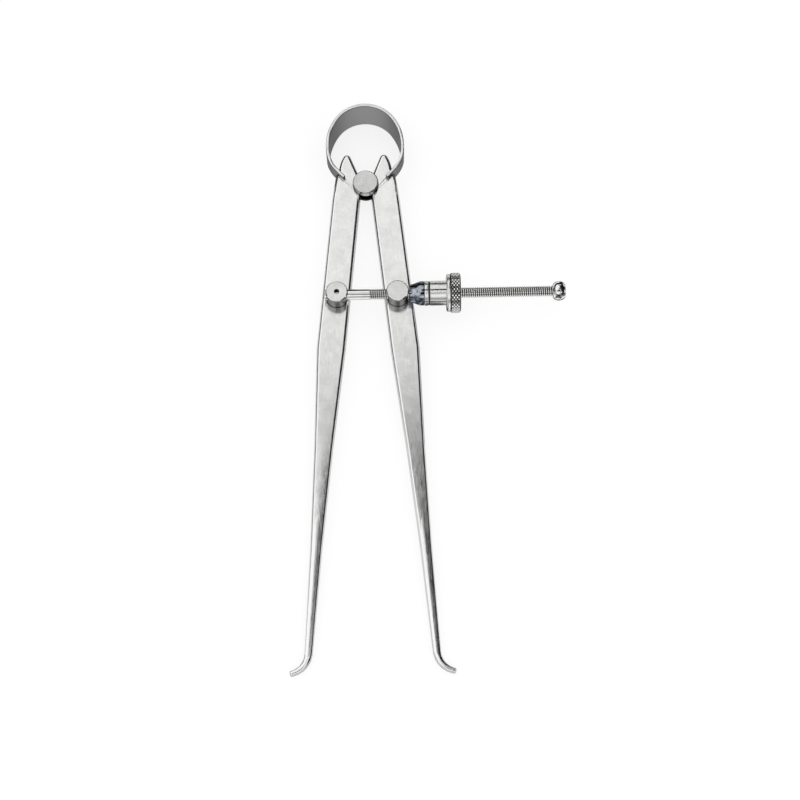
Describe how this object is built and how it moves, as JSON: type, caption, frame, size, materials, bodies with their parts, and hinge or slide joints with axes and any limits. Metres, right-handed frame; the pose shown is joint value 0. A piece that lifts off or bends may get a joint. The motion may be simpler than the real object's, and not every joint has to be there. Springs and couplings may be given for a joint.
{
  "type": "inside spring caliper",
  "caption": "Inside spring caliper with two flat legs, out-turned feet, a bow spring and a quick-acting split nut on an adjusting screw.",
  "frame": {"origin": "fulcrum axis, in the middle plane of the legs", "axes": "+X along the adjusting screw towards its nut, +Y from the feet towards the bow spring, +Z out of the legs' front faces"},
  "size_m": [0.0827, 0.1767, 0.0155],
  "materials": {
    "leg_steel": "satin plated",
    "bow_steel": "satin spring steel",
    "stud_steel": "satin",
    "post_steel": "fine turned",
    "screw_steel": "cut thread, bright",
    "pin_steel": "dark",
    "blued_steel": "polished, blued",
    "nut_steel": "fine turned, bright",
    "knurled_steel": "diamond knurled",
    "spring_wire": "dark spring wire"
  },
  "bodies": {
    "root": {"fulcrum_stud": "stud_steel", "fulcrum_rear_head": "stud_steel", "bow_spring": "bow_steel"},
    "left_leg": {"left_leg": "leg_steel"},
    "right_leg": {"right_leg": "leg_steel"},
    "screw": {"left_post": "post_steel", "left_post_rivet_head": "post_steel", "adjusting_screw": "screw_steel", "screw_lock_pin": "pin_steel", "screw_end_knob": "screw_steel"},
    "right_post": {"right_post": "post_steel", "right_post_rivet_head": "post_steel", "seat_cup": "blued_steel"},
    "nut": {"thumb_nut": "knurled_steel", "nut_retaining_flange": "nut_steel", "jaw_ring_spring": "spring_wire", "nut_jaw_1": "nut_steel", "nut_jaw_2": "nut_steel", "nut_jaw_3": "nut_steel", "nut_jaw_4": "nut_steel", "nut_jaw_5": "nut_steel", "nut_jaw_6": "nut_steel"}
  },
  "joints": [
    {"name": "left_leg_swing", "type": "hinge", "parent": "root", "child": "left_leg", "pos_m": [0, 0, 0], "axis": [0, 0, -1], "range_deg": [-5.85, 20.5], "deforming": ["bow_spring"]},
    {"name": "right_leg_swing", "type": "hinge", "parent": "root", "child": "right_leg", "pos_m": [0, 0, 0], "axis": [0, 0, 1], "range_deg": [-5.85, 20.5], "deforming": ["bow_spring"]},
    {"name": "left_post_swivel", "type": "hinge", "parent": "left_leg", "child": "screw", "pos_m": [-0.0091, -0.03727, 0.00355], "axis": [0, 0, 1], "range_deg": [-5.85, 20.5]},
    {"name": "right_post_swivel", "type": "hinge", "parent": "right_leg", "child": "right_post", "pos_m": [0.0091, -0.03727, 0.00355], "axis": [0, 0, -1], "range_deg": [-5.85, 20.5]},
    {"name": "nut_turn", "type": "hinge", "parent": "right_post", "child": "nut", "pos_m": [0.0091, -0.03727, 0.00355], "axis": [1, 0, 0], "continuous": true}
  ],
  "couplings": [
    {"joint": "right_leg_swing", "follows": "left_leg_swing", "ratio": 1},
    {"joint": "left_post_swivel", "follows": "left_leg_swing", "ratio": 1},
    {"joint": "right_post_swivel", "follows": "left_leg_swing", "ratio": 1}
  ]
}
